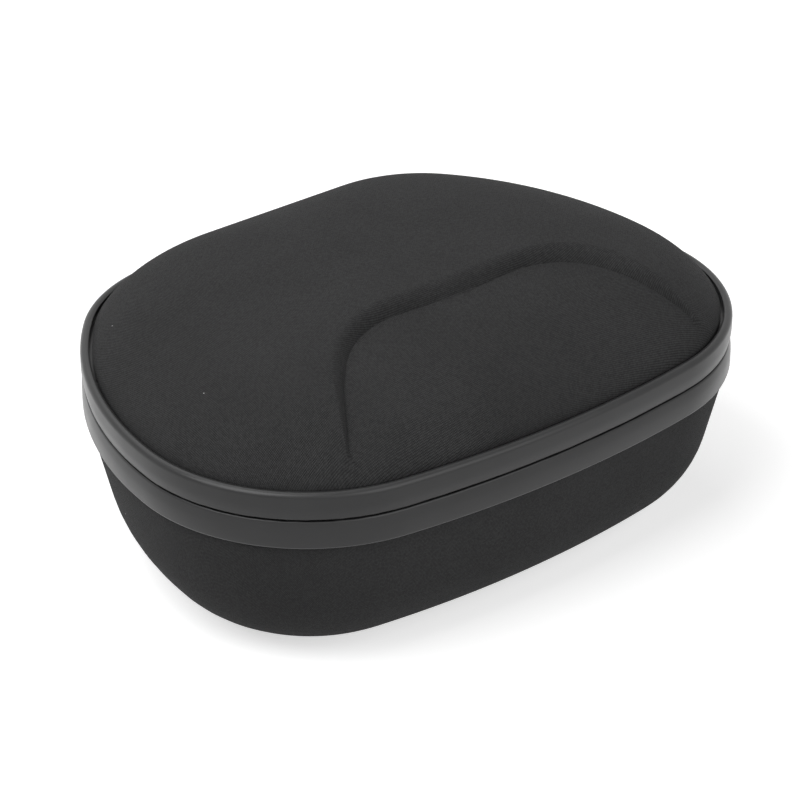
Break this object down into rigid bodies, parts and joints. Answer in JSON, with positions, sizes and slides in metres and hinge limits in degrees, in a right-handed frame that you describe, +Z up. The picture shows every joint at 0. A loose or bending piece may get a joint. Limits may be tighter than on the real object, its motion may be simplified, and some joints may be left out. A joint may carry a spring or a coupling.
{
  "type": "headphone case",
  "caption": "Hard-shell carrying case for over-ear headphones, with a zipped band, a domed lid with a raised arch, and a flexible back hinge.",
  "frame": {"origin": "centre of the resting face, on the floor", "axes": "+X along the case, -Y towards the wide front edge, +Y towards the hinge, +Z up"},
  "size_m": [0.2428, 0.184, 0.1095],
  "materials": {
    "base_cover": "matte woven",
    "base_foam": "matte foam",
    "base_lining": "soft brushed",
    "base_tape": "smooth satin film",
    "base_coil": "satin",
    "base_binding": "ribbed tape",
    "base_end_stops": "black enamel",
    "hinge_strip_base": "smooth satin film",
    "lid_cover": "matte woven",
    "lid_foam": "matte foam",
    "lid_lining": "soft brushed",
    "lid_tape": "smooth satin film",
    "lid_coil": "satin",
    "lid_binding": "ribbed tape",
    "lid_end_stops": "black enamel",
    "hinge_strip_lid": "smooth satin film",
    "pocket_mesh": "open mesh",
    "pocket_elastic": "ribbed elastic",
    "slider_front": "black enamel",
    "slider_rear": "black enamel",
    "pull_front": "black enamel",
    "pull_rear": "black enamel"
  },
  "bodies": {
    "base": {"base_cover": "base_cover", "base_foam": "base_foam", "base_lining": "base_lining", "base_tape": "base_tape", "base_coil": "base_coil", "base_binding": "base_binding", "base_end_stops": "base_end_stops", "hinge_strip_base": "hinge_strip_base"},
    "lid": {"lid_cover": "lid_cover", "lid_foam": "lid_foam", "lid_lining": "lid_lining", "lid_tape": "lid_tape", "lid_coil": "lid_coil", "lid_binding": "lid_binding", "lid_end_stops": "lid_end_stops", "hinge_strip_lid": "hinge_strip_lid", "pocket_mesh": "pocket_mesh", "pocket_elastic": "pocket_elastic"},
    "slider_front": {"slider_front": "slider_front"},
    "slider_rear": {"slider_rear": "slider_rear"},
    "pull_front": {"pull_front": "pull_front"},
    "pull_rear": {"pull_rear": "pull_rear"}
  },
  "joints": [
    {"name": "lid_hinge", "type": "hinge", "parent": "base", "child": "lid", "pos_m": [0, 0.0923, 0.0665], "axis": [-1, 0, 0], "range_deg": [0, 170]},
    {"name": "front_slider_run", "type": "hinge", "parent": "base", "child": "slider_front", "pos_m": [-0.02487, -0.02464, 0.0665], "axis": [0, 0, -1], "range_deg": [0, 14]},
    {"name": "rear_slider_run", "type": "hinge", "parent": "base", "child": "slider_rear", "pos_m": [-0.02487, -0.02464, 0.0665], "axis": [0, 0, 1], "range_deg": [0, 14]},
    {"name": "front_pull_swing", "type": "hinge", "parent": "slider_front", "child": "pull_front", "pos_m": [0.11398, 0.02485, 0.0665], "axis": [0, 0, 1], "range_deg": [0, 110]},
    {"name": "rear_pull_swing", "type": "hinge", "parent": "slider_rear", "child": "pull_rear", "pos_m": [0.10949, 0.03598, 0.0665], "axis": [0, 0, -1], "range_deg": [0, 110]}
  ]
}
